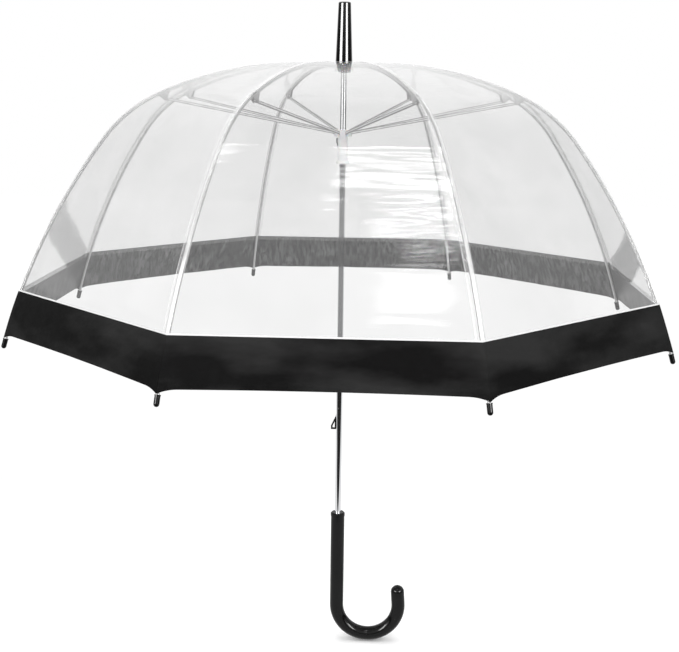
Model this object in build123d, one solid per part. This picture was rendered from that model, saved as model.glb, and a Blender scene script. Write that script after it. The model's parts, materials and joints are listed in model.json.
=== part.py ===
"""Clear dome umbrella with a crook handle, a straight shaft, a sliding runner and eight ribs.

All sizes are in millimetres. The origin is on the shaft's axis, level with the lowest point of the crook.
+Z runs up the shaft to the ferrule, and the crook opens towards +X. The umbrella is modelled open.

The crown pivots and the runner pivots are at the same distance from the shaft's axis, and each rib's crank
(crown pivot to bracket pivot) is as long as its stretcher. The two are then always mirror images of each
other, so the runner slides straight down the shaft by twice the drop of the bracket pivots.
"""

import os
from math import asin, cos, hypot, pi, radians, sin, tan

from build123d import *

# Layout
RIB_COUNT = 8
RIB_SPACING = 360.0 / RIB_COUNT
FIRST_RIB_ANGLE = -67.5  # degrees about +Z from +X
CROWN_HEIGHT = 770.0  # the plane of the rib pivots
PIVOT_RADIUS = 9.0  # of the crown pivots and of the runner pivots
RUNNER_DROP = 81.0  # from the crown pivots to the runner pivots with the umbrella open
FOLD_ANGLE = 74.0  # degrees each rib turns from open to closed

# The line of a rib, from its crown pivot out to the end of its tip: it sets off slightly upwards and then
# turns down through three arcs. A place on it is named by the degrees it has turned since the crown.
START_SLOPE = 5.43
DOME_ARCS = ((449.0, 28.8), (170.0, 29.1), (760.0, 20.73))  # (radius, degrees turned)
BRACKET_TURN = 28.4
TIP_TURN = sum(turn for radius, turn in DOME_ARCS)
LAST_RADIUS = DOME_ARCS[2][0]

# Shaft and its ends
SHAFT_RADIUS = 4.0
SHAFT_WALL = 0.6
SNUG = 0.02  # radial clearance of parts that are pushed on the shaft
HANDLE_HEIGHT = 185.0
HANDLE_RADIUS = 9.15
HANDLE_BEND_RADIUS = 42.2
HOOK_TURN = 184.0  # degrees of the bend, so that the hook leans slightly back towards the stem
HOOK_RISE = 20.4  # from the level where the bend starts up to the centre of the rounded end
COLLAR_RADIUS = 9.6
COLLAR_HEIGHT = 5.0
HANDLE_SOCKET_DEPTH = 26.0
SOCKET_END_GAP = 1.0  # from an end of the shaft to the bottom of its socket
FERRULE_GAP = 6.2  # from the crown pivots up to the ferrule's lower edge
FERRULE_LENGTH = 71.4
FERRULE_LOWER_RADIUS = 10.4
FERRULE_UPPER_RADIUS = 7.6
FERRULE_EDGE = 1.6
FERRULE_SOCKET_DEPTH = 20.0

# Crown, runner and the wire rings that their pivots turn on
RING_WIRE_RADIUS = 0.6
EYE_HOLE_RADIUS = 0.9
EYE_RADIUS = 1.9
TONGUE_THICKNESS = 1.8
SLOT_WIDTH = 2.3
SLOT_INNER_RADIUS = 6.75
HUB_RADIUS = 12.0
CROWN_ABOVE = 2.2
CROWN_BELOW = 5.5
RUNNER_HEAD_HALF = 4.0
RUNNER_BORE_RADIUS = 4.25
RUNNER_SLEEVE_RADIUS = 6.2
RUNNER_SLEEVE_BELOW = 38.5  # from the runner pivots to the sleeve's lower end
RUNNER_FLANGE_RADIUS = 8.2
RUNNER_FLANGE_HEIGHT = 3.0
WINDOW_TOP = 6.0  # below the runner pivots
WINDOW_BOTTOM = 34.0
WINDOW_WIDTH = 3.2

# Ribs
RIB_WIDTH = 3.6
RIB_HEIGHT = 3.0
RIB_WALL = 0.55
TONGUE_LENGTH = 9.0  # from a ring to the wide part of a rib or stretcher
TONGUE_LAP = 3.0
ROD_RADIUS = 1.7
ROD_PIVOT_OFFSET = 2.0  # past the end of the rib's first arc, along the rib
ROD_EYE_THICKNESS = 2.6

# Brackets and stretchers
CHEEK_INNER = 2.1  # half the gap between the cheeks
CHEEK_THICKNESS = 0.8
CHEEK_STRETCHER_END = 2.3  # radius of a cheek round the stretcher's rivet
CHEEK_ROD_END = 1.8  # and round the rod's
BRACKET_BACK = 8.0  # the bracket's reach along the rib towards the crown
BRACKET_TOP = 1.2
SADDLE_LIFT = 1.56
SADDLE_THICKNESS = 0.34
SADDLE_END = 1.5
RIVET_RADIUS = 0.85
RIVET_HEAD_RADIUS = 1.5
RIVET_HEAD_HEIGHT = 0.4
STRETCHER_WIDTH = 2.4
STRETCHER_HEIGHT = 3.0
STRETCHER_GROOVE_WIDTH = 1.3
STRETCHER_GROOVE_DEPTH = 2.0
GROOVE_END = 13.0

# Tip caps
TIP_RADIUS = 2.95
TIP_LENGTH = 12.2
TIP_LIP = 0.25
TIP_LIP_LENGTH = 1.2
TIP_BORE_RADIUS = 1.85
ROD_END_GAP = 2.6  # from the rod's end to the end of its cap
ROD_END_CLEARANCE = 0.1

# Catches, bent from wire to a triangle with a flat locking edge
CATCH_LENGTH = 29.0  # from its pin to the locking edge
OPEN_CATCH_REACH = 8.2  # from the shaft's axis to the nose
CLOSED_CATCH_REACH = 10.6
CATCH_SLOPE = 15.0
CATCH_EDGE = 5.0
CATCH_THICKNESS = 1.6
CATCH_WIRE = 1.4
CATCH_NOSE_WIRE = 0.3  # as a share of the nose's depth
CATCH_ROOT = 3.5  # from the shaft's axis to where the nose starts, just inside the tube's wall
CATCH_PIN_RADIUS = 0.75
CATCH_PIN_OFFSET = 1.0
CATCH_PIN_INSET = 0.3  # from the outside of the tube to each end of a pin
CATCH_HOLE_RADIUS = 0.85
CATCH_SLOT_WIDTH = 2.0
CATCH_SLOT_END = 1.0  # the slot goes this far past a locking edge
CATCH_SLOT_FOOT = 5.0  # and this far past the foot of the nose
CATCH_PLAY = 0.5  # between a locking edge and the runner's window

# Film and border
FILM_OFFSET = 2.4
FILM_THICKNESS = 0.2
BORDER_OFFSET = 2.65
BORDER_THICKNESS = 0.35
BORDER_TOP = 70.7  # from the ends of the tips up along the rib
BORDER_LAP = 8.0
HEM_GAP = 12.8
PANEL_MARGIN = 20.0  # the wedges that cut the panels go this far past the tips
WASHER_RADIUS = 13.2
WASHER_TOP_RADIUS = 8.6
WASHER_LIFT = 3.4  # above the crown pivots

# Worked out from the values above
RUNNER_HEIGHT = CROWN_HEIGHT - RUNNER_DROP
FERRULE_HEIGHT = CROWN_HEIGHT + FERRULE_GAP
SHAFT_BOTTOM = HANDLE_HEIGHT - HANDLE_SOCKET_DEPTH + SOCKET_END_GAP
SHAFT_TOP = FERRULE_HEIGHT + FERRULE_SOCKET_DEPTH - SOCKET_END_GAP


def degrees_along(length, radius):
    """The degrees an arc of this radius turns over a length."""
    return length / radius * 180.0 / pi


def outward(turn):
    """The unit vector square to the rib's line, on the outside of the dome, in the XZ plane."""
    heading = radians(START_SLOPE - turn)
    return Vector(-sin(heading), 0, cos(heading))


def along(turn):
    """The unit vector along the rib's line, away from the crown, in the XZ plane."""
    heading = radians(START_SLOPE - turn)
    return Vector(cos(heading), 0, sin(heading))


def dome_curve(offset, first, last):
    """Arcs of the line that runs `offset` outside the rib's line, from one turn to another."""
    arcs = []
    turned = 0.0
    corner = Vector(PIVOT_RADIUS, 0, CROWN_HEIGHT)
    for radius, turn in DOME_ARCS:
        centre = corner - outward(turned) * radius
        low = max(first, turned)
        high = min(last, turned + turn)
        if high > low:
            stations = (low, (low + high) / 2, high)
            arcs.append(ThreePointArc(*(centre + outward(t) * (radius + offset) for t in stations)))
        turned += turn
        corner = centre + outward(turned) * radius
    return arcs


def dome_point(turn, offset=0.0):
    """The point of the rib's line at a turn, moved outwards by an offset."""
    if turn <= 0:
        return Vector(PIVOT_RADIUS, 0, CROWN_HEIGHT) + outward(0) * offset
    return dome_curve(offset, 0, turn)[-1] @ 1


def dome_band(inner, outer, first, last):
    """The face between two offsets of the rib's line, in the XZ plane."""
    below = dome_curve(inner, first, last)
    above = dome_curve(outer, first, last)
    ends = [Line(below[0] @ 0, above[0] @ 0), Line(below[-1] @ 1, above[-1] @ 1)]
    return Face(Wire(below + above + ends))


def rib_plane(turn, point):
    """A plane across Y with x along the rib and y outwards, at a point of the XZ plane."""
    return Plane(origin=point, x_dir=along(turn), z_dir=(0, -1, 0))


def at_rib(shape, number):
    """The shape turned from the +X side of the shaft to the place of a rib, counted from 0."""
    return Rot(0, 0, FIRST_RIB_ANGLE + number * RIB_SPACING) * shape


def cross_pin(point, radius, half_length):
    """A pin along Y through a point of the XZ plane."""
    return Plane(origin=point, z_dir=(0, 1, 0)) * Cylinder(radius, 2 * half_length)


BRACKET_POINT = dome_point(BRACKET_TURN)
BRACKET_DROP = (RUNNER_DROP / 2 - (CROWN_HEIGHT - BRACKET_POINT.Z)) / outward(BRACKET_TURN).Z
STRETCHER_POINT = BRACKET_POINT - outward(BRACKET_TURN) * BRACKET_DROP
RUNNER_POINT = Vector(PIVOT_RADIUS, 0, RUNNER_HEIGHT)
ROD_PIVOT_TURN = DOME_ARCS[0][1] + degrees_along(ROD_PIVOT_OFFSET, DOME_ARCS[1][0])
ROD_PIVOT_POINT = dome_point(ROD_PIVOT_TURN)
STRETCHER_LENGTH = hypot(STRETCHER_POINT.X - RUNNER_POINT.X, STRETCHER_POINT.Z - RUNNER_POINT.Z)
CLOSED_ANGLE = asin(RUNNER_DROP / 2 / STRETCHER_LENGTH) + radians(FOLD_ANGLE)
RUNNER_TRAVEL = 2 * STRETCHER_LENGTH * sin(CLOSED_ANGLE) - RUNNER_DROP


def revolved(points):
    """The solid turned about Z from an outline of (radius, height) points."""
    outline = [Vector(radius, 0, height) for radius, height in points]
    return revolve(Face(Wire.make_polygon(outline, close=True)), axis=Axis.Z)


def ring(height, wire_radius):
    """A ring of round wire through the pivots at a height."""
    return Pos(0, 0, height) * Torus(PIVOT_RADIUS, wire_radius)


def slotted_hub(low, high, bore_radius):
    """A disc with one slot for each rib or stretcher, open at its rim and at both faces."""
    height = high - low
    middle = (low + high) / 2
    hub = Pos(0, 0, middle) * (Cylinder(HUB_RADIUS, height) - Cylinder(bore_radius, 2 * height))
    slot_length = HUB_RADIUS
    slot = Pos(SLOT_INNER_RADIUS + slot_length / 2, 0, middle) * Box(slot_length, SLOT_WIDTH, 2 * height)
    for number in range(RIB_COUNT):
        hub -= at_rib(slot, number)
    return hub


def catches():
    """For each catch: its locking edge's height, +1 or -1 where the edge faces up or down, and its reach."""
    open_edge = RUNNER_HEIGHT - WINDOW_TOP - CATCH_PLAY
    closed_edge = RUNNER_HEIGHT - RUNNER_TRAVEL - WINDOW_BOTTOM + CATCH_PLAY
    return {
        "open_catch": (open_edge, 1, OPEN_CATCH_REACH),
        "closed_catch": (closed_edge, -1, CLOSED_CATCH_REACH),
    }


def make_shaft_tube():
    length = SHAFT_TOP - SHAFT_BOTTOM
    tube = Cylinder(SHAFT_RADIUS, length) - Cylinder(SHAFT_RADIUS - SHAFT_WALL, 2 * length)
    tube = Pos(0, 0, (SHAFT_TOP + SHAFT_BOTTOM) / 2) * tube
    slot_length = CATCH_SLOT_FOOT + CATCH_SLOPE + CATCH_EDGE + CATCH_SLOT_END
    for edge, facing, reach in catches().values():
        slot = Box(4 * SHAFT_WALL, CATCH_SLOT_WIDTH, slot_length)
        tube -= Pos(-SHAFT_RADIUS, 0, edge - facing * (slot_length / 2 - CATCH_SLOT_END)) * slot
        pin_point = Vector(-CATCH_PIN_OFFSET, 0, edge - facing * CATCH_LENGTH)
        tube -= cross_pin(pin_point, CATCH_PIN_RADIUS + SNUG, SHAFT_RADIUS)
    return tube


def make_catch(edge, facing, reach):
    """A wire catch: a triangular nose with a flat locking edge, on an arm from its pin."""
    # (x, height above the locking edge) of a catch whose edge faces up
    root = -CATCH_ROOT
    slope_end = -CATCH_EDGE - CATCH_SLOPE
    corners = ((root, 0), (-reach, 0), (-reach, -CATCH_EDGE), (root, slope_end))
    nose = Polygon(*corners, align=None)
    nose -= offset(nose, amount=-CATCH_NOSE_WIRE * (reach - CATCH_ROOT))
    arm = Polygon(
        (root, slope_end + CATCH_EDGE),
        (root - CATCH_WIRE / 2, slope_end + CATCH_WIRE / 2),
        (-CATCH_PIN_OFFSET - CATCH_WIRE, -CATCH_LENGTH),
        (-CATCH_PIN_OFFSET + CATCH_WIRE, -CATCH_LENGTH),
        align=None,
    )
    eye = Pos(-CATCH_PIN_OFFSET, -CATCH_LENGTH) * Circle(CATCH_WIRE)
    hole = Pos(-CATCH_PIN_OFFSET, -CATCH_LENGTH) * Circle(CATCH_HOLE_RADIUS)
    plate = extrude(nose + arm + eye - hole, CATCH_THICKNESS / 2, both=True)
    if facing < 0:
        plate = mirror(plate, about=Plane.XZ)
    return Pos(0, 0, edge) * Rot(90, 0, 0) * plate


def make_catch_pin(edge, facing):
    half_length = SHAFT_RADIUS - CATCH_PIN_INSET
    return cross_pin(Vector(-CATCH_PIN_OFFSET, 0, edge - facing * CATCH_LENGTH), CATCH_PIN_RADIUS, half_length)


def make_handle():
    """A crook of round section with a rounded end, and a collar round the socket for the shaft."""
    bend_height = HANDLE_RADIUS + HANDLE_BEND_RADIUS
    stem = Line((0, 0, HANDLE_HEIGHT - COLLAR_HEIGHT), (0, 0, bend_height))
    lean = radians(HOOK_TURN - 180)
    hook_start = Vector(HANDLE_BEND_RADIUS * (1 + cos(lean)), 0, bend_height + HANDLE_BEND_RADIUS * sin(lean))
    hook_end_height = bend_height + HOOK_RISE
    hook_end = hook_start + Vector(-tan(lean), 0, 1) * (hook_end_height - hook_start.Z)
    bend = ThreePointArc(stem @ 1, (HANDLE_BEND_RADIUS, 0, HANDLE_RADIUS), hook_start)
    hook = Line(hook_start, hook_end)
    section = Plane(origin=stem @ 0, z_dir=(0, 0, -1)) * Circle(HANDLE_RADIUS)
    handle = sweep(section, path=Wire([stem, bend, hook]))
    handle += Pos(hook_end) * Sphere(HANDLE_RADIUS)
    collar = Cylinder(COLLAR_RADIUS, COLLAR_HEIGHT)
    collar = chamfer(collar.edges().group_by(Axis.Z)[-1], COLLAR_HEIGHT / 3)
    handle += Pos(0, 0, HANDLE_HEIGHT - COLLAR_HEIGHT / 2) * collar
    socket = Cylinder(SHAFT_RADIUS + SNUG, 2 * HANDLE_SOCKET_DEPTH)
    return handle - Pos(0, 0, HANDLE_HEIGHT) * socket


def make_ferrule():
    """A straight taper with a flat, round-edged top and a blind socket for the shaft."""
    top = FERRULE_HEIGHT + FERRULE_LENGTH
    body = revolved(
        (
            (0, FERRULE_HEIGHT),
            (FERRULE_LOWER_RADIUS, FERRULE_HEIGHT),
            (FERRULE_UPPER_RADIUS, top),
            (0, top),
        )
    )
    body = fillet(body.edges().group_by(Axis.Z)[-1], FERRULE_EDGE)
    socket = Cylinder(SHAFT_RADIUS + SNUG, 2 * FERRULE_SOCKET_DEPTH)
    return body - Pos(0, 0, FERRULE_HEIGHT) * socket


def make_crown():
    hub = slotted_hub(CROWN_HEIGHT - CROWN_BELOW, CROWN_HEIGHT + CROWN_ABOVE, SHAFT_RADIUS + SNUG)
    return hub - ring(CROWN_HEIGHT, RING_WIRE_RADIUS + SNUG)


def make_film_washer():
    low = CROWN_HEIGHT + WASHER_LIFT
    high = FERRULE_HEIGHT
    bore = SHAFT_RADIUS + SNUG
    return revolved(((bore, low), (WASHER_RADIUS, low), (WASHER_TOP_RADIUS, high), (bore, high)))


def make_runner():
    """A slotted head on a sleeve, with a lower flange and a window for the catches."""
    head = slotted_hub(
        RUNNER_HEIGHT - RUNNER_HEAD_HALF, RUNNER_HEIGHT + RUNNER_HEAD_HALF, RUNNER_BORE_RADIUS
    )
    head -= ring(RUNNER_HEIGHT, RING_WIRE_RADIUS + SNUG)
    bottom = RUNNER_HEIGHT - RUNNER_SLEEVE_BELOW
    top = RUNNER_HEIGHT - RUNNER_HEAD_HALF
    sleeve = revolved(
        (
            (RUNNER_BORE_RADIUS, bottom),
            (RUNNER_FLANGE_RADIUS, bottom),
            (RUNNER_FLANGE_RADIUS, bottom + RUNNER_FLANGE_HEIGHT),
            (RUNNER_SLEEVE_RADIUS, bottom + 1.5 * RUNNER_FLANGE_HEIGHT),
            (RUNNER_SLEEVE_RADIUS, top),
            (RUNNER_BORE_RADIUS, top),
        )
    )
    window_height = WINDOW_BOTTOM - WINDOW_TOP
    window = Box(2 * RUNNER_SLEEVE_RADIUS, WINDOW_WIDTH, window_height)
    window_middle = RUNNER_HEIGHT - (WINDOW_TOP + WINDOW_BOTTOM) / 2
    return head + sleeve - Pos(-RUNNER_SLEEVE_RADIUS, 0, window_middle) * window


def make_rib():
    """An upper rib: a curved channel, open downwards, with a flat tongue and eye at its crown end."""
    radius = DOME_ARCS[0][0]
    first = degrees_along(TONGUE_LENGTH, radius)
    last = BRACKET_TURN - degrees_along(SADDLE_END, radius)
    path = dome_curve(0, first, last)[0]
    start = Plane(origin=path @ 0, x_dir=(0, 1, 0), z_dir=path % 0)
    inner_width = RIB_WIDTH - 2 * RIB_WALL
    inner_height = RIB_HEIGHT - RIB_WALL
    groove = Pos(0, -RIB_WALL / 2) * Rectangle(inner_width, inner_height)
    section = Rectangle(RIB_WIDTH, RIB_HEIGHT) - groove
    channel = sweep(start * section, path=path)
    tongue_end = degrees_along(TONGUE_LENGTH + TONGUE_LAP, radius)
    tongue = dome_band(-RIB_HEIGHT / 2, RIB_HEIGHT / 2, 0, tongue_end)
    pivot = dome_point(0)
    flat = extrude(tongue, TONGUE_THICKNESS / 2, both=True) + cross_pin(pivot, EYE_RADIUS, TONGUE_THICKNESS / 2)
    return channel + flat - cross_pin(pivot, EYE_HOLE_RADIUS, RIB_WIDTH)


def make_bracket():
    """A clip over the rib's end: two cheeks, a saddle on top, and rivets for the stretcher and the rod."""
    plane = rib_plane(BRACKET_TURN, BRACKET_POINT)
    rod_pivot = plane.to_local_coords(ROD_PIVOT_POINT)
    low = -BRACKET_DROP
    cheek = Polygon(
        (-BRACKET_BACK, BRACKET_TOP),
        (-BRACKET_BACK, -RIB_HEIGHT / 2),
        (-CHEEK_STRETCHER_END, low),
        (CHEEK_STRETCHER_END, low),
        (rod_pivot.X + CHEEK_ROD_END, rod_pivot.Y),
        (rod_pivot.X, BRACKET_TOP),
        align=None,
    )
    cheek += Pos(0, low) * Circle(CHEEK_STRETCHER_END)
    cheek += Pos(rod_pivot.X, rod_pivot.Y) * Circle(CHEEK_ROD_END)
    plate = extrude(cheek, CHEEK_THICKNESS / 2, both=True)
    half_gap = CHEEK_INNER + CHEEK_THICKNESS / 2
    half_width = CHEEK_INNER + CHEEK_THICKNESS
    saddle_top = SADDLE_LIFT + SADDLE_THICKNESS
    saddle_length = BRACKET_BACK - SADDLE_END
    saddle_x = -SADDLE_END - saddle_length / 2
    wall_height = saddle_top - BRACKET_TOP
    saddle = Box(saddle_length, SADDLE_THICKNESS, 2 * half_width)
    wall = Box(saddle_length, wall_height, CHEEK_THICKNESS)
    bracket = plane * Pos(saddle_x, saddle_top - SADDLE_THICKNESS / 2, 0) * saddle
    for side in (-1, 1):
        bracket += plane * Pos(0, 0, side * half_gap) * plate
        bracket += plane * Pos(saddle_x, saddle_top - wall_height / 2, side * half_gap) * wall
    for point in (STRETCHER_POINT, ROD_PIVOT_POINT):
        bracket += cross_pin(point, RIVET_RADIUS, half_width + RIVET_HEAD_HEIGHT)
        for side in (-1, 1):
            head_point = point + Vector(0, side * (half_width + RIVET_HEAD_HEIGHT / 2), 0)
            bracket += cross_pin(head_point, RIVET_HEAD_RADIUS, RIVET_HEAD_HEIGHT / 2)
    return bracket


def make_rib_rod():
    """A lower rib: a round rod along the shoulder and side of the dome, with an eye at the bracket."""
    end_turn = TIP_TURN - degrees_along(ROD_END_GAP, LAST_RADIUS)
    arcs = dome_curve(0, ROD_PIVOT_TURN, end_turn)
    start = Plane(origin=arcs[0] @ 0, z_dir=arcs[0] % 0)
    rod = sweep(start * Circle(ROD_RADIUS), path=Wire(arcs))
    rod += cross_pin(ROD_PIVOT_POINT, EYE_RADIUS, ROD_EYE_THICKNESS / 2)
    return rod - cross_pin(ROD_PIVOT_POINT, EYE_HOLE_RADIUS, RIB_WIDTH)


def make_stretcher():
    """A grooved bar with a flat tongue and an eye at each end."""
    middle = (STRETCHER_POINT + RUNNER_POINT) * 0.5
    plane = Plane(origin=middle, x_dir=STRETCHER_POINT - RUNNER_POINT, z_dir=(0, -1, 0))
    reach = STRETCHER_LENGTH / 2
    bar = Box(2 * (reach - TONGUE_LENGTH), STRETCHER_HEIGHT, STRETCHER_WIDTH)
    tongues = Box(2 * reach, STRETCHER_HEIGHT, TONGUE_THICKNESS)
    groove = Box(2 * (reach - GROOVE_END), STRETCHER_GROOVE_DEPTH, STRETCHER_GROOVE_WIDTH)
    groove_y = (STRETCHER_GROOVE_DEPTH - STRETCHER_HEIGHT) / 2
    stretcher = plane * (bar + tongues - Pos(0, groove_y, 0) * groove)
    for point in (STRETCHER_POINT, RUNNER_POINT):
        stretcher += cross_pin(point, EYE_RADIUS, TONGUE_THICKNESS / 2)
    for point in (STRETCHER_POINT, RUNNER_POINT):
        stretcher -= cross_pin(point, EYE_HOLE_RADIUS, STRETCHER_WIDTH)
    return stretcher


def make_tip():
    """A round-ended cap with a small lip, on the end of a rod."""
    end = Plane(origin=dome_point(TIP_TURN), z_dir=along(TIP_TURN) * -1)
    body_length = TIP_LENGTH - TIP_RADIUS
    body = Cylinder(TIP_RADIUS, body_length, align=(Align.CENTER, Align.CENTER, Align.MIN))
    lip = Cylinder(TIP_RADIUS + TIP_LIP, TIP_LIP_LENGTH, align=(Align.CENTER, Align.CENTER, Align.MAX))
    bore = Cylinder(TIP_BORE_RADIUS, TIP_LENGTH, align=(Align.CENTER, Align.CENTER, Align.MIN))
    cap = Pos(0, 0, TIP_RADIUS) * (Sphere(TIP_RADIUS) + body) + Pos(0, 0, TIP_LENGTH) * lip
    return end * (cap - Pos(0, 0, ROD_END_GAP - ROD_END_CLEARANCE) * bore)


def make_panels(inner, thickness, first, last):
    """A ring of panels, one between each pair of neighbouring ribs, each straight from rib to rib."""
    half_angle = radians(RIB_SPACING / 2)
    band = dome_band(inner, inner + thickness, first, last)
    profile = scale(band, by=(cos(half_angle), 1, 1))
    reach = dome_point(TIP_TURN).X + PANEL_MARGIN
    half_width = reach * sin(half_angle) / cos(half_angle)
    panel = extrude(profile, half_width, both=True)
    wedge = extrude(Polygon((0, 0), (reach, -half_width), (reach, half_width), align=None), 2 * CROWN_HEIGHT)
    panel = panel & wedge
    panels = [Rot(0, 0, FIRST_RIB_ANGLE + (number + 0.5) * RIB_SPACING) * panel for number in range(RIB_COUNT)]
    return panels[0].fuse(*panels[1:])


def make_canopy_film():
    last = TIP_TURN - degrees_along(BORDER_TOP - BORDER_LAP, LAST_RADIUS)
    return make_panels(FILM_OFFSET, FILM_THICKNESS, 0, last)


def make_canopy_border():
    first = TIP_TURN - degrees_along(BORDER_TOP, LAST_RADIUS)
    last = TIP_TURN - degrees_along(HEM_GAP, LAST_RADIUS)
    return make_panels(BORDER_OFFSET, BORDER_THICKNESS, first, last)


def make_parts():
    """Every node's name and shape."""
    parts = {
        "shaft_tube": make_shaft_tube(),
        "handle": make_handle(),
        "ferrule": make_ferrule(),
        "crown": make_crown(),
        "crown_wire": ring(CROWN_HEIGHT, RING_WIRE_RADIUS),
        "film_washer": make_film_washer(),
        "runner": make_runner(),
        "runner_wire": ring(RUNNER_HEIGHT, RING_WIRE_RADIUS),
        "canopy_film": make_canopy_film(),
        "canopy_border": make_canopy_border(),
    }
    for name, (edge, facing, reach) in catches().items():
        parts[name] = make_catch(edge, facing, reach)
        parts[name + "_pin"] = make_catch_pin(edge, facing)
    repeated = {
        "rib": make_rib(),
        "bracket": make_bracket(),
        "rib_rod": make_rib_rod(),
        "stretcher": make_stretcher(),
        "tip": make_tip(),
    }
    for number in range(RIB_COUNT):
        for name, shape in repeated.items():
            parts[f"{name}_{number + 1}"] = at_rib(shape, number)
    return parts


os.makedirs("parts", exist_ok=True)
for part_name, part_shape in make_parts().items():
    export_step(part_shape, f"parts/{part_name}.step")
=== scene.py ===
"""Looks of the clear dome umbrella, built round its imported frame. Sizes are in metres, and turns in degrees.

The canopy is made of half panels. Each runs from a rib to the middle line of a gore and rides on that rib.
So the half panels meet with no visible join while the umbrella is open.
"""

import json
import math

import bpy
from mathutils import Matrix, Vector, noise


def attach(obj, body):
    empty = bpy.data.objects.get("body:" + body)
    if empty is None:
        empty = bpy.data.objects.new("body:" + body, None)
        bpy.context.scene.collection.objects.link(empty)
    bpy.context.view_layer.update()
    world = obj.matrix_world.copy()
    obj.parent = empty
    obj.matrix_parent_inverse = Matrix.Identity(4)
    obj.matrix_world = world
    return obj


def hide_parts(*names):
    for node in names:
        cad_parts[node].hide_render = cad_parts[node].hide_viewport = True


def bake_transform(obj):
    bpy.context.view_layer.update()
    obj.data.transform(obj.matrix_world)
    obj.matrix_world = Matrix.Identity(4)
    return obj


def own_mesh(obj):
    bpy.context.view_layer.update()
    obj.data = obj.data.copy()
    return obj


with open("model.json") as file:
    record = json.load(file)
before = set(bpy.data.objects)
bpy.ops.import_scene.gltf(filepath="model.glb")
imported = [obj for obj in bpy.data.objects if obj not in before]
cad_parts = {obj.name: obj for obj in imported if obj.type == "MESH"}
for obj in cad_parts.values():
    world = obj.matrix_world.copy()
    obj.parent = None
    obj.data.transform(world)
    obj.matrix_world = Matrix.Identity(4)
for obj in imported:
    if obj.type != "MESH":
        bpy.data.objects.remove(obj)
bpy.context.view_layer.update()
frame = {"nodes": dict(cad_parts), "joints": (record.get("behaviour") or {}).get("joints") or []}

MM = 0.001
RIB_COUNT = 8
HALVINGS = 40  # enough to find a place on a rib's line exactly
SIDES = {"left": -1, "right": 1}

# The line of a rib, as in the frame: a slope at the crown, then three arcs of (radius, degrees turned). A
# place on it is named by the degrees it has turned since the crown.
START_SLOPE = 5.43
DOME_ARCS = ((449 * MM, 28.8), (170 * MM, 29.1), (760 * MM, 20.73))
SHOULDER_TURN = DOME_ARCS[0][1]
SIDE_TURN = SHOULDER_TURN + DOME_ARCS[1][1]
TIP_TURN = SIDE_TURN + DOME_ARCS[2][1]
SIDE_RADIUS = DOME_ARCS[2][0]
HALF_GORE = math.radians(360 / RIB_COUNT / 2)

# Film, with offsets outwards from the rib's line
FILM_OFFSET = 2.6 * MM
FILM_THICKNESS = 0.3 * MM
FILM_WAVE = 0.7 * MM
WAVES_PER_METRE = (6, 6, 14)  # longer round the dome than down it
WAVE_START = Vector((3.1, 1.7, 5.3))

# Seams
SEAM_OFFSET = 3.0 * MM
SEAM_THICKNESS = 0.3 * MM
SEAM_START = 2.0
SEAM_ROWS = 90
SEAM_FULL_RADIUS = 90 * MM  # it narrows evenly to a point from here to the crown
# Its bands, in millimetres across the rib: (from, to, material, how far its middle stands up)
# The tape and line bands carry painted reflection, and the edge bands painted shade.
SEAM_BANDS = (
    (-6.6, -5.6, "line", 0.2),
    (-5.6, -2.9, "clear", 0.0),
    (-2.9, -2.1, "edge", 0.0),
    (-2.1, 2.0, "tape", 0.5),
    (2.0, 2.7, "edge", 0.0),
    (2.7, 3.6, "clear", 0.0),
)
BAND_STEPS = 4
SEAM_TAPER = (0.55, 30.0, 62.0)  # share of its width, the turn where it starts to widen and where it is full
SEAM_BEND = 2.0  # a turn on each side of the bracket's hinge
TAPE_REFLECTION_FADE = (0.58, 0.65)  # heights between which the tape's painted reflection goes from milky to nearly clear

# Border. Its top and its hem's gap are lengths up the rib from the end of the tip.
BORDER_OFFSET = 3.2 * MM
BORDER_THICKNESS = 0.45 * MM
BORDER_TOP = 72.2 * MM
BORDER_LAP = 6 * MM
BORDER_ROWS = 14
BORDER_COLUMNS = 30
BORDER_KEEP = 0.1  # share of a half panel's width left when the umbrella is closed
BORDER_FOLDS = ((0.9 * MM, 9, 2.0), (0.35 * MM, 30, 7.0))  # (depth, fineness, start) of broad and fine folds
PIPING_HEIGHT = 1.8 * MM
HEM_GAP = 12.8 * MM
HEM_RISE = 4.0 * MM  # from a rib to the end of its corner
HEM_CORNER = 20 * MM
HEM_SCALLOP = 1.6 * MM  # from a rib to the middle of a gore

# Steps over which a surface's slope is taken, in degrees of turn and in share of a half gore
TURN_STEP = 0.05
SHARE_STEP = 0.005

# Studio. The panes of a window high in front are (low, high, left, right, radiance), in degrees of rise and
# turn as seen from the front panel.
WINDOW_PANES = (
    (67.0, 70.5, -10.0, 8.5, 12),
    (63.6, 65.0, -8.0, 7.5, 9),
    (57.5, 61.0, -7.0, 7.5, 12),
    (54.8, 55.4, -1.0, 5.5, 30),
    (51.8, 52.2, -1.0, 5.5, 34),
    (49.4, 49.9, -1.0, 5.5, 30),
    (46.5, 46.8, 1.5, 6.0, 34),
    (43.9, 44.2, 1.5, 6.0, 34),
    (30.0, 41.5, -1.0, 4.5, 4),
    (62.0, 69.0, -26.0, -22.0, 5),
)
WINDOW_AIM = Vector((0.06, -0.3, 0.65))
WINDOW_DISTANCE = 8.0
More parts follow.
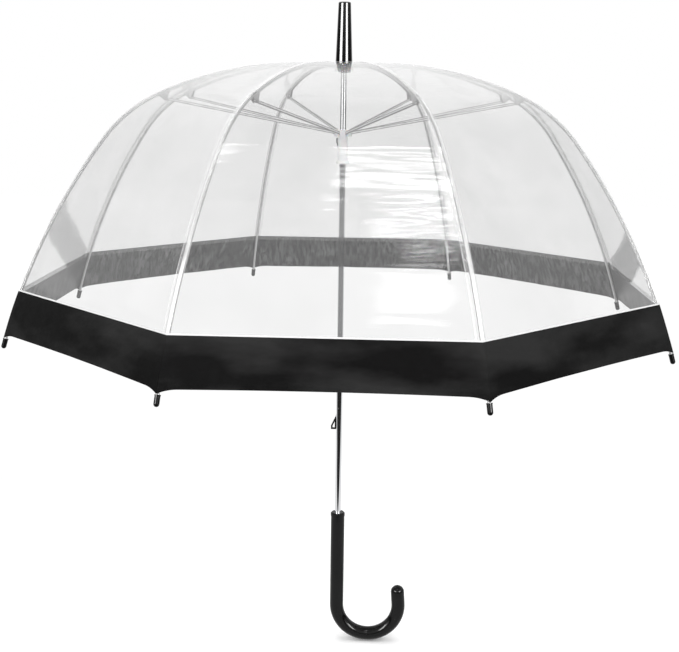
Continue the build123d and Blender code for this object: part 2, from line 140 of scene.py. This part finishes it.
# (name, place, aim, size, radiance) of the softboxes, first the ones that only shiny surfaces show
STREAK_BOXES = (
    ("streak_left", (-2.07, -2.18, 1.3), (0, 0, 0.8), (1.9, 0.6), 24),
    ("low_streak_left", (-2.07, -2.18, 0.73), (0, 0, 0.73), (1.9, 0.5), 2.4),
    ("streak_right", (2.01, -2.23, 1.3), (0, 0, 0.8), (1.6, 0.6), 24),
    ("low_streak_right", (2.01, -2.23, 0.73), (0, 0, 0.73), (1.6, 0.5), 2.4),
)
FILL_BOXES = (
    ("fill_front", (0, -3.2, 2.2), (0, 0, 0.5), (3.5, 2.5), 2.0),
    ("overhead", (0, 0, 3.4), (0, 0, 0.5), (3.0, 3.0), 3.0),
)
FLOOR_HALF = 6.0
FLOOR_GLOW = 1.02
# The white card that shiny parts show in place of the floor, and the grey of the floor further off
CARD_CENTRE = (0, 1.6, 0)
CARD_RADIUS = 2.067
CARD_EDGE = 0.04
FAR_GREY = 0.2
# (sine of the elevation, radiance) of the room
ROOM_LIGHT = ((0.0, 0.05), (0.1, 0.05), (0.22, 1.0), (0.86, 1.0), (0.94, 0.45), (0.999, 0.45))
CAMERA_TURN = math.radians(2.45)
CAMERA_RISE = math.radians(11.97)
CAMERA_ROLL = math.radians(0.78)
CAMERA_DISTANCE = 1.462
CAMERA_AIM = Vector((-0.0011, 0, 0.4411))
CAMERA_LENS = 59.53

joints = {joint["name"]: joint for joint in frame["joints"]}
PIVOT = Vector(joints["fold"]["pos_m"])
PIVOT_RADIUS = math.hypot(PIVOT.x, PIVOT.y)
CROWN_HEIGHT = PIVOT.z

# The middle line of a stretcher: its slope, and its height where it would meet the shaft's axis
STRETCHER_END = Vector(joints["stretcher_1_pivot"]["pos_m"])
RUNNER_PIVOT = Vector(joints["runner_slide"]["pos_m"])
STRETCHER_REACH = STRETCHER_END.xy.length - RUNNER_PIVOT.xy.length
STRETCHER_SLOPE = (STRETCHER_END.z - RUNNER_PIVOT.z) / STRETCHER_REACH
STRETCHER_BASE = RUNNER_PIVOT.z - RUNNER_PIVOT.xy.length * STRETCHER_SLOPE


def degrees_along(length, radius):
    return math.degrees(length / radius)


def side_turn(length):
    """The turn at a length up the rib from the end of its tip, on the dome's side."""
    return TIP_TURN - degrees_along(length, SIDE_RADIUS)


def outward(turn):
    """(radial, up) of the unit vector square to the rib's line, on the outside of the dome."""
    heading = math.radians(START_SLOPE - turn)
    return Vector((-math.sin(heading), math.cos(heading)))


def dome_point(turn, offset):
    """(radius, height) of the rib's line at a turn, moved outwards by an offset."""
    corner = Vector((PIVOT_RADIUS, CROWN_HEIGHT))
    turned = 0.0
    for radius, arc_turn in DOME_ARCS:
        centre = corner - outward(turned) * radius
        here = min(turn, turned + arc_turn)
        corner = centre + outward(here) * radius
        if turn <= turned + arc_turn:
            break
        turned += arc_turn
    return corner + outward(turn) * offset


def rib_frame(number):
    """Turns a point made with +X along a rib and +Y round the dome into the row frame."""
    pivot = joints["fold" if number == 1 else f"rib_{number}_fold"]["pos_m"]
    return Matrix.Rotation(math.atan2(pivot[1], pivot[0]), 4, "Z")


def flex_turn():
    """The turn at which the lower ribs hinge on their brackets, found by halving."""
    pivot = joints["rib_end_1_flex"]["pos_m"]
    radius = math.hypot(pivot[0], pivot[1])
    low, high = 0.0, TIP_TURN
    for _ in range(HALVINGS):
        middle = (low + high) / 2
        if dome_point(middle, 0).x < radius:
            low = middle
        else:
            high = middle
    return low


FLEX_TURN = flex_turn()


# Materials


class Nodes:
    """The node tree of a new material or world, with short ways to add and join nodes."""

    def __init__(self, name, kind="Material"):
        owners = {"Material": bpy.data.materials, "World": bpy.data.worlds}
        self.owner = owners[kind].new(name)
        self.owner.use_nodes = True
        self.tree = self.owner.node_tree
        self.tree.nodes.clear()
        self.output = self.add(f"ShaderNodeOutput{kind}")

    def add(self, kind, inputs=None, **settings):
        node = self.tree.nodes.new(kind)
        for key, value in settings.items():
            setattr(node, key, value)
        for key, value in (inputs or {}).items():
            self.set(node.inputs[key], value)
        return node

    def set(self, socket, value):
        if isinstance(value, bpy.types.NodeSocket):
            self.tree.links.new(value, socket)
        else:
            socket.default_value = value

    def place(self, scale=(1, 1, 1)):
        """A point on the surface, in metres, stretched by a scale."""
        where = self.add("ShaderNodeTexCoord")
        mapping = self.add("ShaderNodeMapping", {"Vector": where.outputs["Object"], "Scale": scale})
        return mapping.outputs["Vector"]

    def noise(self, size, detail=2.0, stretch=(1, 1, 1), rough=0.5):
        """Soft noise with features of a size in metres."""
        inputs = {"Vector": self.place(stretch), "Scale": 1 / size}
        inputs.update({"Detail": detail, "Roughness": rough})
        return self.add("ShaderNodeTexNoise", inputs).outputs["Fac"]

    def between(self, value, low, high, start=0.3, end=0.7):
        """A value that goes from low to high as another goes from start to end."""
        inputs = {"Value": value, "From Min": start, "From Max": end, "To Min": low, "To Max": high}
        return self.add("ShaderNodeMapRange", inputs).outputs["Result"]

    def math(self, operation, *values):
        node = self.add("ShaderNodeMath", operation=operation)
        for socket, value in zip(node.inputs, values):
            self.set(socket, value)
        return node.outputs[0]

    def colour(self, value, first, second):
        """A colour between two, by a value from 0 to 1."""
        mix = self.add("ShaderNodeMix", data_type="RGBA")
        for socket, given in ((mix.inputs[0], value), (mix.inputs[6], first), (mix.inputs[7], second)):
            self.set(socket, given)
        return mix.outputs[2]

    def bump(self, height, strength, distance):
        inputs = {"Height": height, "Strength": strength, "Distance": distance}
        return self.add("ShaderNodeBump", inputs).outputs["Normal"]

    def emission(self, strength):
        return self.add("ShaderNodeEmission", {"Color": grey(1), "Strength": strength}).outputs[0]

    def principled(self, **inputs):
        names = {key.replace("_", " "): value for key, value in inputs.items()}
        return self.add("ShaderNodeBsdfPrincipled", names).outputs["BSDF"]

    def mix(self, amount, first, second):
        """A shader between two, by an amount from 0 to 1."""
        node = self.add("ShaderNodeMixShader")
        for socket, value in zip(node.inputs, (amount, first, second)):
            self.set(socket, value)
        return node.outputs[0]

    def finish(self, shader):
        self.set(self.output.inputs["Surface"], shader)
        return self.owner


def grey(value):
    return (value, value, value, 1)


def plated_steel(name, light, dark, roughness, metallic=0.6):
    """Zinc-plated steel: slightly uneven tone and a fine grain."""
    n = Nodes(name)
    colour = n.colour(n.between(n.noise(9 * MM, detail=3), 0, 1), grey(dark), grey(light))
    grain = n.bump(n.noise(0.7 * MM, detail=2), 0.15, 0.05 * MM)
    rough = n.between(n.noise(3 * MM), roughness - 0.06, roughness + 0.08)
    return n.finish(n.principled(Base_Color=colour, Metallic=metallic, Roughness=rough, Normal=grain))


def stretcher_steel():
    """Grey sheet steel pressed to a groove, with a painted highlight: a pale band is painted along the middle
    of each side in place of the light the groove catches.
    """
    n = Nodes("stretcher_steel")
    where = n.place()
    radius = n.add("ShaderNodeVectorMath", {0: n.place((1, 1, 0))}, operation="LENGTH").outputs["Value"]
    height = n.add("ShaderNodeSeparateXYZ", {0: where}).outputs["Z"]
    middle = n.math("MULTIPLY_ADD", radius, STRETCHER_SLOPE, STRETCHER_BASE)
    off_middle = n.math("ABSOLUTE", n.math("SUBTRACT", height, middle))
    edge = n.between(off_middle, 0, 1, start=0.4 * MM, end=0.9 * MM)
    uneven = n.between(n.noise(6 * MM, detail=3), 0.8, 1.1)
    # Painted highlight: pale (0.75) along the middle line, going darker (0.27) towards each edge.
    tone = n.math("MULTIPLY", n.between(edge, 0.75, 0.27, start=0, end=1), uneven)
    colour = n.colour(tone, grey(0), grey(1))
    return n.finish(n.principled(Base_Color=colour, Roughness=0.45, Specular_IOR_Level=0.15))


def chrome():
    """Drawn and plated tube: fine marks along its length and a slightly uneven polish."""
    n = Nodes("chrome_tube")
    marks = n.noise(0.5 * MM, detail=4, stretch=(1, 1, 0.02))
    rough = n.between(n.noise(6 * MM, stretch=(1, 1, 0.3)), 0.02, 0.06)
    colour = n.colour(marks, (0.78, 0.79, 0.81, 1), (0.9, 0.9, 0.91, 1))
    lines = n.bump(marks, 0.06, 0.02 * MM)
    return n.finish(n.principled(Base_Color=colour, Metallic=1.0, Roughness=rough, Normal=lines))


def gloss_black(name, roughness, shine):
    """Polished moulded plastic with the faint waves of its mould."""
    n = Nodes(name)
    colour = n.colour(n.noise(12 * MM, detail=3), grey(0.002), grey(0.006))
    rough = n.between(n.noise(4 * MM, detail=4), roughness - 0.02, roughness + 0.04)
    waves = n.bump(n.noise(7 * MM), 0.1, 0.2 * MM)
    inputs = {"Base_Color": colour, "Roughness": rough, "Normal": waves}
    return n.finish(n.principled(Specular_IOR_Level=shine, **inputs))


def translucent_plastic(name, tone, haze):
    """Milky moulded plastic that lets some light through."""
    n = Nodes(name)
    colour = n.colour(n.noise(5 * MM, detail=3), grey(tone - 0.08), grey(tone))
    rough = n.between(n.noise(2 * MM), 0.25, 0.4)
    inputs = {"Base_Color": colour, "Roughness": rough, "Subsurface_Weight": 0.3, "Subsurface_Scale": 2 * MM}
    clear = n.add("ShaderNodeBsdfTransparent").outputs[0]
    cover = n.between(n.noise(6 * MM), haze - 0.06, haze + 0.06)
    return n.finish(n.mix(cover, clear, n.principled(**inputs)))


def film_surface(n, waviness):
    """The normal of taut film: ripples that run round the dome, and faint creases over them."""
    ripples = n.noise(15 * MM, detail=1, stretch=(0.11, 0.11, 1))
    creases = n.noise(9 * MM, detail=1, stretch=(0.4, 0.4, 1))
    height = n.math("MULTIPLY_ADD", creases, 0.04, ripples)
    return n.bump(height, 1.0, waviness)


def clear_film(name, haze, tone, shine=1.0, waviness=0.8 * MM):
    """Thin clear sheet: see-through face on, a mirror at a slant, with a faint bloom.

    One shader gives all three. Alpha is the part of the light that doesn't go straight through, and metallic
    is the mirror's part of that, so the rest is the bloom.
    """
    n = Nodes(name)
    surface = film_surface(n, waviness)
    facing = n.add("ShaderNodeLayerWeight", {"Blend": 0.5, "Normal": surface}).outputs["Facing"]
    slant = n.math("POWER", facing, 5)
    mirror = n.math("MULTIPLY_ADD", slant, 0.9 * shine, 0.045 * shine)
    bloom = n.between(n.noise(110 * MM, detail=3), haze * 0.75, haze * 1.25)
    cover = n.math("SUBTRACT", n.math("ADD", bloom, mirror), n.math("MULTIPLY", bloom, mirror))
    share = n.math("DIVIDE", mirror, n.math("MAXIMUM", cover, 0.001))
    inputs = {"Base_Color": n.colour(share, grey(tone), grey(1)), "Metallic": share, "Roughness": 0.07}
    return n.finish(n.principled(Alpha=cover, Normal=surface, **inputs))


def seam_tape_painted_reflection(name, cover_low, cover_high):
    """The welded strip over a rib, glossy; its milky white is partly painted reflection, painted whiter low
    down than high up and faint from inside.
    """
    n = Nodes(name)
    colour = n.colour(n.between(n.noise(25 * MM, detail=3), 0, 1), grey(0.8), grey(0.92))
    height = n.add("ShaderNodeSeparateXYZ", {0: n.place()}).outputs["Z"]
    height = n.math("MULTIPLY_ADD", n.noise(30 * MM, detail=2), 60 * MM, height)
    # Painted reflection: the strip is painted milky low down and nearly clear high up, and fainter seen from
    # inside.
    cover = n.between(height, cover_low, cover_high, start=TAPE_REFLECTION_FADE[0], end=TAPE_REFLECTION_FADE[1])
    from_inside = n.add("ShaderNodeNewGeometry").outputs["Backfacing"]
    seen = n.math("MULTIPLY", cover, n.between(from_inside, 1, 0.12, start=0, end=1))
    return n.finish(n.principled(Base_Color=colour, Roughness=0.2, Alpha=seen, Specular_IOR_Level=0.3))


def border_fabric():
    """Black coated cloth: a fine plain weave, a satin face and soft bumped folds, with paler patches painted
    into its colour as the sheen the folds would catch.
    """
    n = Nodes("border_fabric")
    inputs = {"Vector": n.place(), "Scale": 900.0, "Distortion": 1.0}
    weave = n.add("ShaderNodeTexWave", inputs, bands_direction="Z").outputs["Fac"]
    across = n.noise(0.8 * MM, detail=2, stretch=(1, 1, 0.4))
    folds = n.noise(22 * MM, detail=3, stretch=(0.45, 0.45, 1))
    puckers = n.bump(folds, 0.5, 3 * MM)
    height = n.math("ADD", weave, across)
    inputs = {"Height": height, "Strength": 0.2, "Distance": 0.12 * MM, "Normal": puckers}
    threads = n.add("ShaderNodeBump", inputs).outputs["Normal"]
    # Painted sheen: broad paler patches in the colour stand in for light caught by satin folds.
    sheen = n.between(n.noise(45 * MM, detail=4, stretch=(0.35, 0.35, 1)), 0, 1, start=0.4, end=0.65)
    colour = n.colour(sheen, grey(0.0025), grey(0.02))
    inputs = {"Base_Color": colour, "Roughness": 0.42, "Normal": threads}
    return n.finish(n.principled(Specular_IOR_Level=0.05, **inputs))


def border_lining():
    """The inside of the border, where film is laminated to the cloth: black, with faint upright streaks of
    painted reflection.
    """
    n = Nodes("border_lining")
    # Painted reflection: pale upright streaks in patches, in place of light caught on the laminated film.
    streaks = n.noise(4 * MM, detail=3, stretch=(1, 1, 0.03))
    streaks = n.between(streaks, 0, 1, start=0.42, end=0.62)
    patches = n.between(n.noise(35 * MM, detail=2), 0.3, 1)
    amount = n.math("MULTIPLY", streaks, patches)
    colour = n.colour(amount, grey(0.003), grey(0.1))
    return n.finish(n.principled(Base_Color=colour, Roughness=0.3, Specular_IOR_Level=0.1))


def piping_tape():
    """The pale glossy tape along the top of the border, its pale colour partly a painted highlight of the
    welded edge.
    """
    n = Nodes("border_piping")
    # Partly painted highlight: the welded top edge is coloured pale.
    colour = n.colour(n.noise(2 * MM, detail=2), grey(0.62), grey(0.8))
    return n.finish(n.principled(Base_Color=colour, Roughness=0.35, Coat_Weight=0.3))


def pale_floor():
    """A white sweep: matt card under the umbrella, glowing white further off.

    Shiny parts show something else in its place: a round white card and a white floor behind, with the dark
    of the room in front and to the sides.
    """
    n = Nodes("pale_floor")
    tone = n.between(n.noise(400 * MM, detail=2), 0, 1)
    colour = n.colour(tone, grey(0.93), grey(0.95))
    card = n.principled(Base_Color=colour, Roughness=0.8, Specular_IOR_Level=0.0)
    where = n.add("ShaderNodeTexCoord").outputs["Object"]
    distance = n.add("ShaderNodeVectorMath", {0: where}, operation="LENGTH").outputs["Value"]
    far = n.between(distance, 0, 1, start=0.3, end=0.9)
    floor = n.mix(far, card, n.emission(FLOOR_GLOW))

    inputs = {0: where, 1: CARD_CENTRE}
    to_card = n.add("ShaderNodeVectorMath", inputs, operation="DISTANCE").outputs["Value"]
    on_card = n.between(to_card, 0.85, 0.02, start=CARD_RADIUS - CARD_EDGE, end=CARD_RADIUS + CARD_EDGE)
    beyond = n.between(distance, 0, FAR_GREY, start=1.2, end=2.0)
    forward = n.add("ShaderNodeSeparateXYZ", {0: where}).outputs["Y"]
    behind = n.between(forward, 0, 0.85, start=0.15, end=0.45)
    shown = n.math("MAXIMUM", n.math("MAXIMUM", on_card, beyond), behind)
    in_mirror = n.add("ShaderNodeLightPath").outputs["Is Glossy Ray"]
    return n.finish(n.mix(in_mirror, floor, n.emission(shown)))


FILM = clear_film("canopy_film", haze=0.09, tone=0.15)
FILM_EDGE = clear_film("canopy_film_edge", haze=0.0, tone=0.4, shine=0.0)
WELD = {
    "clear": clear_film("welded_film", haze=0.1, tone=0.7, waviness=0.1 * MM),
    # The weld's edges: a darker haze, partly painted shade along each side of the strip.
    "edge": clear_film("weld_edge_painted_shade", haze=0.36, tone=0.15, waviness=0.1 * MM),
    "tape": seam_tape_painted_reflection("seam_tape_painted_reflection", 0.85, 0.22),
    "line": seam_tape_painted_reflection("seam_line", 0.5, 0.25),
}
FABRIC = border_fabric()
LINING = border_lining()
PIPING = piping_tape()
NODE_MATERIALS = {
    "shaft_tube": chrome(),
    "handle": gloss_black("handle_plastic", 0.08, shine=0.22),
    "ferrule": gloss_black("ferrule_plastic", 0.06, shine=0.6),
    "crown": translucent_plastic("crown_plastic", 0.85, 0.32),
    "film_washer": translucent_plastic("washer_plastic", 0.9, 0.18),
    "runner": translucent_plastic("runner_plastic", 0.9, 0.9),
    "catch": gloss_black("catch_enamel", 0.25, shine=0.3),
    "wire": plated_steel("ring_wire", 0.5, 0.35, 0.3),
    "pin": plated_steel("catch_pin", 0.55, 0.4, 0.25),
    "bracket": plated_steel("bracket_steel", 0.36, 0.28, 0.45, metallic=0.2),
    "rib": plated_steel("rib_steel", 0.42, 0.33, 0.45, metallic=0.2),
    "rib_rod": plated_steel("rod_steel", 0.5, 0.4, 0.35, metallic=0.3),
    "stretcher": stretcher_steel(),
    "tip": gloss_black("tip_plastic", 0.12, shine=0.2),
}


def node_kind(node):
    """The key of NODE_MATERIALS that a CAD node takes."""
    for ending in ("wire", "pin", "catch"):
        if node.endswith(ending):
            return ending
    return node.rstrip("_0123456789")


def dress_cad_nodes():
    for node, piece in frame["nodes"].items():
        kind = node_kind(node)
        if kind in NODE_MATERIALS:
            piece.data.materials.clear()
            piece.data.materials.append(NODE_MATERIALS[kind])


# Canopy


def gore_normal(turn, side):
    """The outward unit vector of a flat-sided gore at a turn, with +X along the rib."""
    lean = outward(turn)
    middle = Vector((lean.x, lean.y * math.cos(HALF_GORE))).normalized()
    return Vector((middle.x * math.cos(HALF_GORE), side * middle.x * math.sin(HALF_GORE), middle.y))


def gore_point(turn, share, side, offset):
    """A point of a gore, from its rib (share 0) straight across to its middle line (share 1)."""
    radius, height = dome_point(turn, offset)
    across = share * radius * math.sin(HALF_GORE)
    return Vector((radius - across * math.sin(HALF_GORE), side * across * math.cos(HALF_GORE), height))


def film_wave(point):
    """How far the taut film stands off its flat shape, in shallow waves."""
    place = Vector([part * waves for part, waves in zip(point, WAVES_PER_METRE)])
    return FILM_WAVE * noise.noise(place + WAVE_START)


def rim_corners(height, width):
    """The outline of a grid of that many rows and columns, as vertex numbers in order."""
    rim = list(range(width))
    rim += [i * width + width - 1 for i in range(1, height)]
    rim += [(height - 1) * width + j for j in range(width - 2, -1, -1)]
    rim += [i * width for i in range(height - 2, 0, -1)]
    return rim


def sheet(name, rows, thickness, materials, material_of=lambda row, column: 0, inside=None):
    """A closed thin mesh about a grid of (point, outward unit vector), shaded with those vectors.

    Its rim takes the last of the materials, and its inner face takes the one given as inside, if any.
    """
    width = len(rows[0])
    count = len(rows) * width
    outer = [point + normal * thickness / 2 for row in rows for point, normal in row]
    inner = [point - normal * thickness / 2 for row in rows for point, normal in row]
    normals = [normal for row in rows for point, normal in row]
    faces = []
    slots = []
    for i in range(len(rows) - 1):
        for j in range(width - 1):
            a = i * width + j
            quad = (a, a + width, a + width + 1, a + 1)
            faces += [quad, tuple(count + corner for corner in reversed(quad))]
            slots += [material_of(i, j), material_of(i, j) if inside is None else inside]
    grid_faces = len(faces)
    rim = rim_corners(len(rows), width)
    for a, b in zip(rim, rim[1:] + rim[:1]):
        faces.append((a, b, count + b, count + a))
        slots.append(len(materials) - 1)
    mesh = bpy.data.meshes.new(name)
    mesh.from_pydata(outer + inner, [], faces)
    for given in materials:
        mesh.materials.append(given)
    mesh.polygons.foreach_set("material_index", slots)
    mesh.polygons.foreach_set("use_smooth", [index < grid_faces for index in range(len(faces))])
    shading = []
    for index, face in enumerate(faces):
        for corner in face:
            vertex = normals[corner % count]
            shading.append((vertex if corner < count else -vertex) if index < grid_faces else Vector())
    mesh.normals_split_custom_set(shading)
    piece = bpy.data.objects.new(name, mesh)
    bpy.context.scene.collection.objects.link(piece)
    return piece


def grid(turns, shares, surface):
    """Rows of (point, outward unit vector) of a surface given by a function of turn and share."""
    rows = []
    for turn in turns:
        row = []
        for share in shares:
            down = surface(turn + TURN_STEP, share) - surface(turn - TURN_STEP, share)
            across = surface(turn, share + SHARE_STEP) - surface(turn, max(0.0, share - SHARE_STEP))
            normal = down.cross(across).normalized()
            if normal.z < 0:
                normal = -normal
            row.append((surface(turn, share), normal))
        rows.append(row)
    return rows


def spread(first, last, count):
    """Evenly spaced numbers, with both ends."""
    return [first + (last - first) * i / (count - 1) for i in range(count)]


def gather(piece, number, body, first, last, keep):
    """Rides a half panel on a rib, with a mesh of its own.
    """
    start = dome_point(first, FILM_OFFSET)
    end = dome_point(last, FILM_OFFSET)
    chord = (end - start).normalized()
    chord = Vector((chord.x, 0, chord.y))
    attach(piece, f"{body}_{number}")
    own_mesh(piece)


# zone: (body, first turn, last turn, rows down, columns across, share of its width left when closed)
FILM_END = side_turn(BORDER_TOP - BORDER_LAP)
FILM_ZONES = {
    "top": ("rib", 0.0, FLEX_TURN, 30, 12, 0.14),
    "shoulder": ("rib_end", FLEX_TURN, SIDE_TURN, 20, 16, 0.13),
    "side": ("rib_end", SIDE_TURN, FILM_END, 30, 18, 0.12),
}


def panel_surface(number, side, offset, lift=None):
    """A half panel's surface in the row frame, as a function of turn and share."""
    turned = rib_frame(number)

    def surface(turn, share):
        normal = turned.to_3x3() @ gore_normal(turn, side)
        point = turned @ gore_point(turn, share, side, offset)
        stand_off = film_wave(point)
        if lift is not None:
            stand_off += lift(point, turn)
        return point + normal * stand_off

    return surface


def facing_out(rows, side):
    """Rows in the order that turns a sheet's faces outwards."""
    return rows if side > 0 else [row[::-1] for row in rows]


def make_film():
    """The film's half panels, each in three zones from the crown to the border."""
    for number in range(1, RIB_COUNT + 1):
        for side_name, side in SIDES.items():
            surface = panel_surface(number, side, FILM_OFFSET)
            for zone, (body, first, last, down, across, keep) in FILM_ZONES.items():
                rows = facing_out(grid(spread(first, last, down), spread(0, 1, across), surface), side)
                name = f"film_{zone}_{number}_{side_name}"
                piece = sheet(name, rows, FILM_THICKNESS, (FILM, FILM_EDGE))
                gather(piece, number, body, first, last, keep)
                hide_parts("canopy_film")


def border_lift(point, turn):
    """How far the border stands off in shallow upright folds, deepest at its hem."""
    share = (turn - side_turn(BORDER_TOP)) / (side_turn(HEM_GAP) - side_turn(BORDER_TOP))
    angle = math.atan2(point.y, point.x)
    height = 0.0
    for depth, fineness, start in BORDER_FOLDS:
        place = Vector((math.cos(angle) * fineness, math.sin(angle) * fineness, start))
        height += depth * noise.noise(place)
    return height * max(0.0, share)


def hem_gap(distance):
    """The hem's length up the rib's line from the tip, at a distance from the nearest rib."""
    share = min(1.0, distance / HEM_CORNER)
    middle = distance / (dome_point(side_turn(HEM_GAP), 0).x * math.sin(HALF_GORE))
    return HEM_GAP + HEM_RISE * share * (2 - share) + HEM_SCALLOP * middle * (2 - middle)


def piping_then_cloth(row, column):
    """The border's material at a place of its grid: its top row is the piping."""
    return min(row, 1)


def make_border():
    """The border's half panels, each with its strip of piping."""
    half_width = dome_point(side_turn(HEM_GAP), BORDER_OFFSET).x * math.sin(HALF_GORE)
    first = side_turn(BORDER_TOP)
    piping_end = side_turn(BORDER_TOP - PIPING_HEIGHT)
    # Columns lie closer together near the rib, where the hem turns up
    shares = [share ** 1.5 for share in spread(0, 1, BORDER_COLUMNS)]
    for number in range(1, RIB_COUNT + 1):
        for side_name, side in SIDES.items():
            rib_surface = panel_surface(number, side, BORDER_OFFSET, border_lift)

            def surface(depth, share):
                """Depth -1 is the piping's top, 0 its foot and 1 the hem."""
                if depth < 0:
                    return rib_surface(piping_end + (piping_end - first) * depth, share)
                hem = side_turn(hem_gap(share * half_width))
                return rib_surface(piping_end + (hem - piping_end) * depth, share)

            rows = facing_out(grid([-1.0] + spread(0, 1, BORDER_ROWS), shares, surface), side)
            name = f"border_{number}_{side_name}"
            materials = (PIPING, FABRIC, LINING, FABRIC)
            piece = sheet(name, rows, BORDER_THICKNESS, materials, piping_then_cloth, inside=2)
            gather(piece, number, "rib_end", first, side_turn(HEM_GAP), BORDER_KEEP)
            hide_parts("canopy_border")


def seam_columns():
    """(across the rib, lift, material) at each column of a seam, in millimetres."""
    columns = []
    for first, last, material, lift in SEAM_BANDS:
        for step in range(BAND_STEPS):
            share = step / BAND_STEPS
            columns.append((first + (last - first) * share, lift * math.sin(math.pi * share), material))
    return columns + [(last, 0.0, material)]


def seam_surface(number, columns):
    """A seam's surface in the row frame, as a function of turn and column."""
    turned = rib_frame(number)
    narrow, taper_start, taper_end = SEAM_TAPER

    def surface(turn, column):
        across, lift, _ = columns[column]
        radius, height = dome_point(turn, SEAM_OFFSET)
        share = min(1.0, max(0.0, (turn - taper_start) / (taper_end - taper_start)))
        across *= (narrow + (1 - narrow) * share) * min(1.0, radius / SEAM_FULL_RADIUS) * MM
        point = turned @ Vector((radius - abs(across) * math.tan(HALF_GORE), across, height))
        return point + turned.to_3x3() @ gore_normal(turn, 1 if across > 0 else -1) * lift * MM

    return surface


def seam_rows(surface, count):
    """Rows of (point, outward unit vector) of a seam with that many columns."""
    rows = []
    for turn in spread(SEAM_START, side_turn(BORDER_TOP), SEAM_ROWS):
        row = []
        for column in range(count):
            down = surface(turn + TURN_STEP, column) - surface(turn - TURN_STEP, column)
            across = surface(turn, min(column + 1, count - 1)) - surface(turn, max(column - 1, 0))
            row.append((surface(turn, column), down.cross(across).normalized()))
        rows.append(row)
    return rows


def on_rib(number, turn):
    """The place in the row frame of a turn on a seam's middle line."""
    radius, height = dome_point(turn, SEAM_OFFSET)
    return rib_frame(number) @ Vector((radius, 0, height))


def make_seams():
    """A welded strip over each rib."""
    columns = seam_columns()
    names = list(WELD)
    kinds = [names.index(material) for _, _, material in columns]
    materials = list(WELD.values()) + [FILM_EDGE]
    for number in range(1, RIB_COUNT + 1):
        rows = seam_rows(seam_surface(number, columns), len(columns))
        name = f"seam_{number}"
        piece = sheet(name, rows, SEAM_THICKNESS, materials, lambda row, column: kinds[column], inside=0)
        bend_start = on_rib(number, FLEX_TURN - SEAM_BEND)
        bend_end = on_rib(number, FLEX_TURN + SEAM_BEND)
        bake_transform(piece)


# Studio


def direction_from(rise, turn):
    """The unit vector towards a place in front, at a rise above the level and a turn to the right."""
    level = math.cos(rise)
    return Vector((math.sin(turn) * level, -math.cos(turn) * level, math.sin(rise)))


def make_camera():
    back = direction_from(CAMERA_RISE, CAMERA_TURN)
    right = Vector((math.cos(CAMERA_TURN), math.sin(CAMERA_TURN), 0))
    up = back.cross(right)
    rolled_right = right * math.cos(CAMERA_ROLL) + up * math.sin(CAMERA_ROLL)
    rolled_up = up * math.cos(CAMERA_ROLL) - right * math.sin(CAMERA_ROLL)
    camera = bpy.data.objects.new("camera", bpy.data.cameras.new("camera"))
    camera.data.lens = CAMERA_LENS
    camera.data.clip_start = 0.05
    turn = Matrix((rolled_right, rolled_up, back)).transposed().to_4x4()
    camera.matrix_world = Matrix.Translation(CAMERA_AIM + back * CAMERA_DISTANCE) @ turn
    bpy.context.scene.collection.objects.link(camera)
    bpy.context.scene.camera = camera


def make_softbox(name, place, aim, size, radiance, reflected=False):
    """A rectangle of light at a place, turned to face an aim point.

    One that is reflected is seen only in shiny surfaces. The others only light the matt ones.
    """
    width, height = size
    data = bpy.data.lights.new(name, "AREA")
    data.shape = "RECTANGLE"
    data.size = width
    data.size_y = height
    data.energy = radiance * math.pi * width * height
    lamp = bpy.data.objects.new(name, data)
    lamp.location = place
    lamp.rotation_euler = (Vector(place) - Vector(aim)).to_track_quat("Z", "Y").to_euler()
    lamp.visible_camera = False
    lamp.visible_glossy = reflected
    lamp.visible_diffuse = not reflected
    bpy.context.scene.collection.objects.link(lamp)


def make_window():
    """The panes of a window high in front, which only shiny surfaces show."""
    for number, (low, high, left, right, radiance) in enumerate(WINDOW_PANES, start=1):
        rise = math.radians((low + high) / 2)
        turn = math.radians((left + right) / 2)
        width = WINDOW_DISTANCE * math.radians(right - left) * math.cos(rise)
        height = WINDOW_DISTANCE * math.radians(high - low)
        place = WINDOW_AIM + direction_from(rise, turn) * WINDOW_DISTANCE
        make_softbox(f"pane_{number}", place, WINDOW_AIM, (width, height), radiance, reflected=True)


def make_world():
    """White where the camera sees it, lit from behind and from a band above the floor's level."""
    n = Nodes("studio", kind="World")
    direction = n.add("ShaderNodeTexCoord").outputs["Generated"]
    split = n.add("ShaderNodeSeparateXYZ", {0: direction})
    height = n.add("ShaderNodeValToRGB", {0: split.outputs["Z"]})
    stops = height.color_ramp.elements
    for position, radiance in ROOM_LIGHT:
        stops.new(position).color = grey(radiance)
    stops.remove(stops[0])
    stops.remove(stops[-1])
    behind = n.between(split.outputs["Y"], 0, 1, start=0.45, end=0.8)
    on_camera = n.add("ShaderNodeLightPath").outputs["Is Camera Ray"]
    white = n.math("MAXIMUM", behind, on_camera)
    strength = n.add("ShaderNodeMix", {"Factor": white, "A": height.outputs["Color"], "B": 1.0})
    inputs = {"Color": grey(1), "Strength": strength.outputs["Result"]}
    bpy.context.scene.world = n.finish(n.add("ShaderNodeBackground", inputs).outputs[0])


def make_floor():
    mesh = bpy.data.meshes.new("floor")
    corners = [(x * FLOOR_HALF, y * FLOOR_HALF, 0) for x, y in ((-1, -1), (1, -1), (1, 1), (-1, 1))]
    mesh.from_pydata(corners, [], [(0, 1, 2, 3)])
    mesh.materials.append(pale_floor())
    floor = bpy.data.objects.new("floor", mesh)
    bpy.context.scene.collection.objects.link(floor)


def make_studio():
    make_camera()
    make_world()
    make_floor()
    for name, place, aim, size, radiance in STREAK_BOXES:
        make_softbox(name, place, aim, size, radiance, reflected=True)
    make_window()
    for name, place, aim, size, radiance in FILL_BOXES:
        make_softbox(name, place, aim, size, radiance)
    bpy.context.scene.view_settings.view_transform = "Standard"
    bpy.context.scene.cycles.transparent_max_bounces = 32


dress_cad_nodes()
make_film()
make_border()
make_seams()
make_studio()
